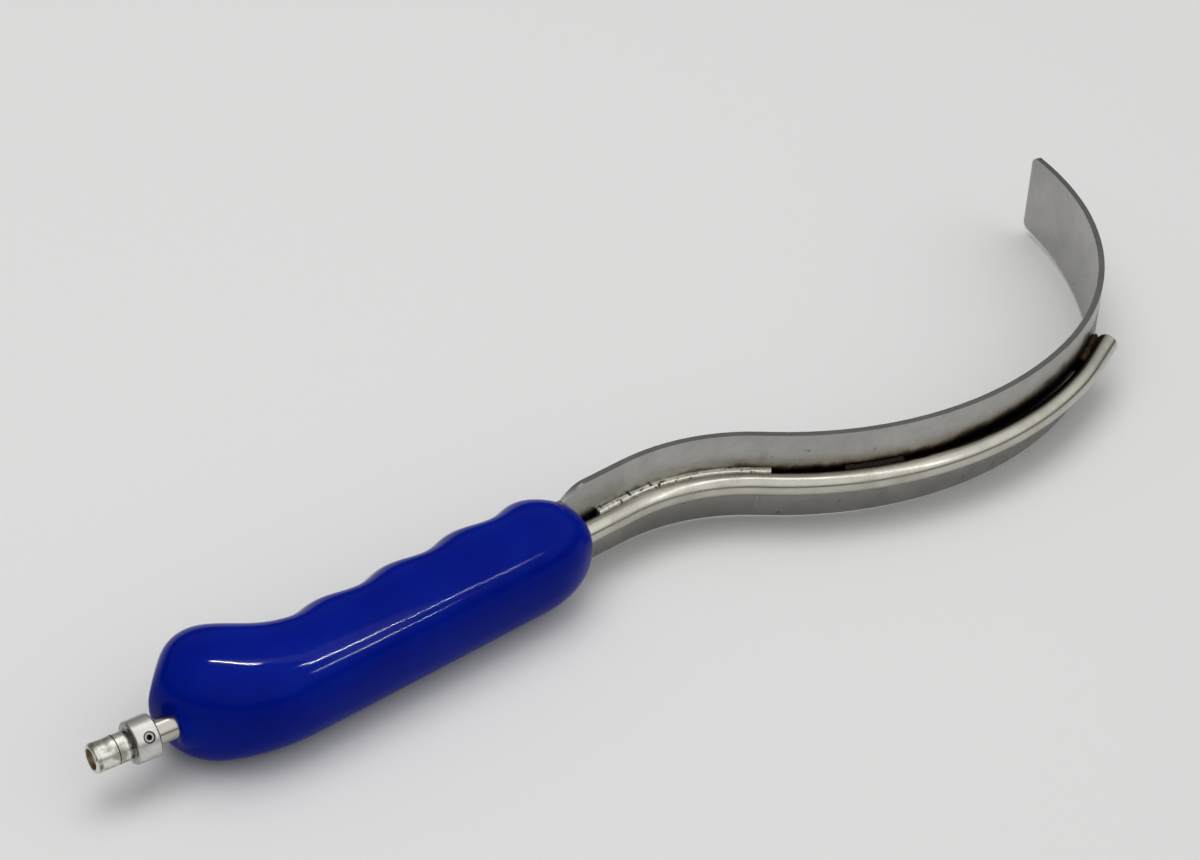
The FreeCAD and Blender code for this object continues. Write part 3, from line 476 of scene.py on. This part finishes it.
def new_mesh(name, vertices, faces, material):
    """A smooth-shaded mesh that rides the retractor."""
    mesh = bpy.data.meshes.new(name)
    mesh.from_pydata([tuple(v) for v in vertices], [], faces)
    mesh.validate()
    mesh.polygons.foreach_set("use_smooth", [True] * len(mesh.polygons))
    mesh.materials.append(material)
    thing = bpy.data.objects.new(name, mesh)
    bpy.context.scene.collection.objects.link(thing)
    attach(thing, "retractor")
    return thing


def grip_skin():
    """The dipped skin as one smooth closed surface, standing for the CAD coat."""
    vertices = []
    for row in range(SKIN_STATIONS):
        x = skin_station(row / (SKIN_STATIONS - 1))
        for k in range(SKIN_ANGLES):
            vertices.append(beside_stub(skin_point(x, 2 * math.pi * k / SKIN_ANGLES)))
    faces = []
    for row in range(SKIN_STATIONS - 1):
        for k in range(SKIN_ANGLES):
            a, b = row * SKIN_ANGLES + k, row * SKIN_ANGLES + (k + 1) % SKIN_ANGLES
            faces.append((a, a + SKIN_ANGLES, b + SKIN_ANGLES, b))
    faces.append(tuple(range(SKIN_ANGLES)))
    last = (SKIN_STATIONS - 1) * SKIN_ANGLES
    faces.append(tuple(last + k for k in reversed(range(SKIN_ANGLES))))
    skin = new_mesh("grip_skin", vertices, faces, MATERIALS["vinyl"])
    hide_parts("grip_coat")


grip_skin()


# ---------------------------------------------------------------- light tube

TUBE_START, TUBE_RADIUS, TUBE_BORE = 45.0, 2.8, 2.4
TUBE_ROUTE = [(0, 23.3, 0), (1, 5.75, 100.0), (0, 72.3, 0), (-1, 39.5, 49.6), (0, 2.5, 0),
              (1, 54.7, 99.4), (1, 8.0, 80.0), (0, 11.5, 0)]
TUBE_STEP, TUBE_SIDES, TUBE_LIP = 1.2, 64, 0.12


def route_points(step):
    """Points and headings along the tube's axis; a run is a turn side, a length or angle and a radius."""
    x, y, heading = TUBE_START, 0.0, 0.0
    points = [(x, y, heading)]
    for side, size, radius in TUBE_ROUTE:
        length = math.radians(size) * radius if side else size
        count = max(1, round(length / step))
        turn = side * math.radians(size) / count if side else 0.0
        for _ in range(count):
            middle = heading + turn / 2
            chord = 2 * radius * math.sin(abs(turn) / 2) if side else length / count
            x, y, heading = x + chord * math.cos(middle), y + chord * math.sin(middle), heading + turn
            points.append((x, y, heading))
    return points


def smooth_tube():
    """The light tube with a fine, even surface, standing for the CAD tube."""
    points = route_points(TUBE_STEP)
    rings = [(*point, TUBE_RADIUS) for point in points]
    rings += [(*point, TUBE_BORE) for point in reversed(points)]
    last = len(points) - 1
    x, y, heading, _ = rings[last]
    back = (x - TUBE_LIP * math.cos(heading), y - TUBE_LIP * math.sin(heading), heading, TUBE_RADIUS)
    rings[last:last + 1] = [back, (x, y, heading, TUBE_RADIUS - TUBE_LIP)]
    vertices = []
    for x, y, heading, radius in rings:
        for k in range(TUBE_SIDES):
            angle = 2 * math.pi * k / TUBE_SIDES
            across, up = radius * math.cos(angle), radius * math.sin(angle)
            vertices.append(at(x - across * math.sin(heading), y + across * math.cos(heading), up))
    faces = []
    for row in range(len(rings)):
        for k in range(TUBE_SIDES):
            a, b = row * TUBE_SIDES + k, row * TUBE_SIDES + (k + 1) % TUBE_SIDES
            c, d = (a + TUBE_SIDES) % len(vertices), (b + TUBE_SIDES) % len(vertices)
            faces.append((a, c, d, b))
    tube = new_mesh("light_tube_smooth", vertices, faces, MATERIALS["tube"])
    tube.data.set_sharp_from_angle(angle=math.radians(40))
    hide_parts("light_tube")


smooth_tube()


# ---------------------------------------------------------------- brazing

LUMP_SIZE = 1.1 * MM


def roughened(name, node, material, voxel, strength):
    """A lumpy copy of a plain CAD bead, standing for it."""
    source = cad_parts[node]
    thing = bpy.data.objects.new(name, source.data.copy())
    bpy.context.scene.collection.objects.link(thing)
    paint(thing, material)
    remesh = thing.modifiers.new("remesh", "REMESH")
    remesh.mode = "VOXEL"
    remesh.voxel_size = voxel
    remesh.use_smooth_shade = True
    lumps = bpy.data.textures.new(f"{name}_lumps", "CLOUDS")
    lumps.noise_scale = LUMP_SIZE
    lumps.noise_depth = 3
    displace = thing.modifiers.new("lumps", "DISPLACE")
    displace.texture = lumps
    displace.texture_coords = "LOCAL"
    displace.mid_level = 0.5
    displace.strength = strength
    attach(thing, "retractor")
    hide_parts(node)


roughened("braze_bead_rough", "braze_bead", MATERIALS["braze"], 0.16 * MM, 0.2 * MM)
roughened("braze_tacks_rough", "braze_tacks", MATERIALS["flux"], 0.2 * MM, 0.6 * MM)


CEMENT_AT, CEMENT_ASIDE, CEMENT_HALF = 254.5, 3.5, (5.0, 1.1, 2.0)
CEMENT_ROWS, CEMENT_SIDES = 28, 32
CEMENT_POLE = 0.02


def tip_cement():
    """Ragged brown cement in the notch between the tube's end and the strip."""
    points = route_points(TUBE_STEP)
    x, y, heading = points[min(range(len(points)), key=lambda i: abs(i * TUBE_STEP - CEMENT_AT))]
    rows, sides = CEMENT_ROWS, CEMENT_SIDES
    vertices = []
    for row in range(rows + 1):
        polar = math.pi * (CEMENT_POLE + (1 - 2 * CEMENT_POLE) * row / rows)
        for k in range(sides):
            angle = 2 * math.pi * k / sides
            ragged = 1 + 0.16 * math.sin(5 * angle + 3 * row) + 0.13 * math.sin(3 * angle - 1.7 * row)
            along = CEMENT_HALF[0] * math.cos(polar)
            across = CEMENT_ASIDE + CEMENT_HALF[1] * math.sin(polar) * math.cos(angle) * ragged
            up = CEMENT_HALF[2] * math.sin(polar) * math.sin(angle) * ragged
            vertices.append(at(x + along * math.cos(heading) - across * math.sin(heading),
                               y + along * math.sin(heading) + across * math.cos(heading), up))
    faces = []
    for row in range(rows):
        for k in range(sides):
            a, b = row * sides + k, row * sides + (k + 1) % sides
            faces.append((a, b, b + sides, a + sides))
    faces.append(tuple(reversed(range(sides))))
    faces.append(tuple(rows * sides + k for k in range(sides)))
    cement = new_mesh("tip_cement", vertices, faces, MATERIALS["flux"])


tip_cement()


# ---------------------------------------------------------------- table, light and camera

TABLE_HALF = 1.6


def floor():
    """A plain pale table under the tool."""
    mesh = bpy.data.meshes.new("table_top")
    corners = [(x * TABLE_HALF, y * TABLE_HALF, 0) for x, y in ((-1, -1), (1, -1), (1, 1), (-1, 1))]
    mesh.from_pydata(corners, [], [(0, 1, 2, 3)])
    thing = bpy.data.objects.new("table_top", mesh)
    bpy.context.scene.collection.objects.link(thing)
    top = Shader("pale_table", (0.70, 0.70, 0.695), 0.55)
    top.bsdf.inputs["Specular IOR Level"].default_value = 0.25
    mesh.materials.append(top.material)


def area_light(name, place, target, size, power):
    """A rectangular soft box at a place, facing a target, both in millimetres from the post's mouth."""
    data = bpy.data.lights.new(name, "AREA")
    data.shape = "RECTANGLE"
    data.size, data.size_y = size
    data.energy = power
    thing = bpy.data.objects.new(name, data)
    bpy.context.scene.collection.objects.link(thing)
    thing.location = at(*place)
    thing.rotation_euler = (at(*target) - at(*place)).to_track_quat("-Z", "Y").to_euler()
    return thing


BAR_TARGET = (100, 0, 0)


def light_bar(name, start, end, width, power, receivers=None):
    """A long narrow lamp between two points; it only shows as a highlight, on the receivers if given."""
    start, end = at(*start), at(*end)
    data = bpy.data.lights.new(name, "AREA")
    data.shape = "RECTANGLE"
    data.size, data.size_y = (end - start).length, width * MM
    data.energy = power
    thing = bpy.data.objects.new(name, data)
    bpy.context.scene.collection.objects.link(thing)
    along = (end - start).normalized()
    down = (at(*BAR_TARGET) - (start + end) / 2).normalized()
    down = (down - along * down.dot(along)).normalized()
    side = along.cross(down)
    turn = Matrix((along, -side, -down)).transposed()
    thing.matrix_world = Matrix.Translation((start + end) / 2) @ turn.to_4x4()
    thing.visible_diffuse = False
    if receivers is not None:
        thing.light_linking.receiver_collection = receivers
    return thing


SKY_BRIGHT_SIDE = (0.2, -0.5, 0.85)
SKY_LEVELS = {"From Min": 0.2, "From Max": 0.95, "To Min": 0.32, "To Max": 0.95}
WALL_FOOT = (0.0, 0.9)
WALL_LEVELS = ((0.02, 0.3), (0.2, 0.3), (0.36, 1.0))


def sky():
    """A soft surround, brightest above the near side and dim behind the tool."""
    world = bpy.data.worlds.new("studio")
    bpy.context.scene.world = world
    world.use_nodes = True
    nodes, links = world.node_tree.nodes, world.node_tree.links
    facing = nodes.new("ShaderNodeVectorMath")
    facing.operation = "DOT_PRODUCT"
    links.new(nodes.new("ShaderNodeTexCoord").outputs["Generated"], facing.inputs[0])
    facing.inputs[1].default_value = Vector(SKY_BRIGHT_SIDE).normalized()
    strength = nodes.new("ShaderNodeMapRange")
    strength.interpolation_type = "SMOOTHSTEP"
    links.new(facing.outputs["Value"], strength.inputs["Value"])
    for socket, value in SKY_LEVELS.items():
        strength.inputs[socket].default_value = value
    height = nodes.new("ShaderNodeSeparateXYZ")
    links.new(nodes["Texture Coordinate"].outputs["Generated"], height.inputs["Vector"])
    walls = nodes.new("ShaderNodeFloatCurve")
    links.new(height.outputs["Z"], walls.inputs["Value"])
    for place, value in WALL_LEVELS:
        walls.mapping.curves[0].points.new(place, value)
    walls.mapping.curves[0].points[0].location = WALL_FOOT
    walls.mapping.update()
    product = nodes.new("ShaderNodeMath")
    product.operation = "MULTIPLY"
    links.new(strength.outputs["Result"], product.inputs[0])
    links.new(walls.outputs["Value"], product.inputs[1])
    links.new(product.outputs["Value"], nodes["Background"].inputs["Strength"])
    nodes["Background"].inputs["Color"].default_value = (1.0, 1.0, 1.0, 1)


# bars that only show in the vinyl: name, start, end, width and power
VINYL_BARS = (
    ("bar_rear", (250, 400, 750), (300, 100, 750), 10, 5.0),
    ("bar_main", (395, -240, 750), (545, -420, 750), 6, 3.4),
    ("bar_front", (545, -420, 750), (770, -690, 750), 5, 1.6),
    ("bar_low", (600, -760, 750), (884, -1042, 750), 12, 4.0),
)


def lights():
    """The surround, one soft box overhead, and the bars that draw the highlights."""
    sky()
    area_light("overhead", (60, 200, 1300), (150, 0, 0), (1.2, 0.9), 7.5).visible_glossy = False
    glossy_vinyl = bpy.data.collections.new("glossy_vinyl")
    glossy_vinyl.objects.link(bpy.data.objects["grip_skin"])
    for name, start, end, width, power in VINYL_BARS:
        light_bar(name, start, end, width, power, glossy_vinyl)
    light_bar("bar_metal", (200, 317, 600), (580, -695, 600), 60, 0.5)


CAMERA_FROM_MOUTH = (-207.83, -469.96, 501.04)
CAMERA_SENSOR, CAMERA_LENS = 36, 96
CAMERA_HEADING, CAMERA_PITCH, CAMERA_ROLL = (math.radians(value) for value in (53.97, 38.6, 2.9))


def camera():
    """The photographer's view: from the near rear side, looking down at the tool."""
    look = Vector((math.cos(CAMERA_HEADING) * math.cos(CAMERA_PITCH),
                   math.sin(CAMERA_HEADING) * math.cos(CAMERA_PITCH), -math.sin(CAMERA_PITCH)))
    level = Vector((math.sin(CAMERA_HEADING), -math.cos(CAMERA_HEADING), 0))
    rise = level.cross(look)
    right = level * math.cos(CAMERA_ROLL) + rise * math.sin(CAMERA_ROLL)
    up = rise * math.cos(CAMERA_ROLL) - level * math.sin(CAMERA_ROLL)
    data = bpy.data.cameras.new("camera")
    data.sensor_width = CAMERA_SENSOR
    data.lens = CAMERA_LENS
    data.clip_start = 0.01
    thing = bpy.data.objects.new("camera", data)
    bpy.context.scene.collection.objects.link(thing)
    turn = Matrix((right, up, -look)).transposed()
    thing.matrix_world = Matrix.Translation(at(*CAMERA_FROM_MOUTH)) @ turn.to_4x4()
    bpy.context.scene.camera = thing


floor()
lights()
camera()
bpy.context.scene.view_settings.view_transform = "Standard"
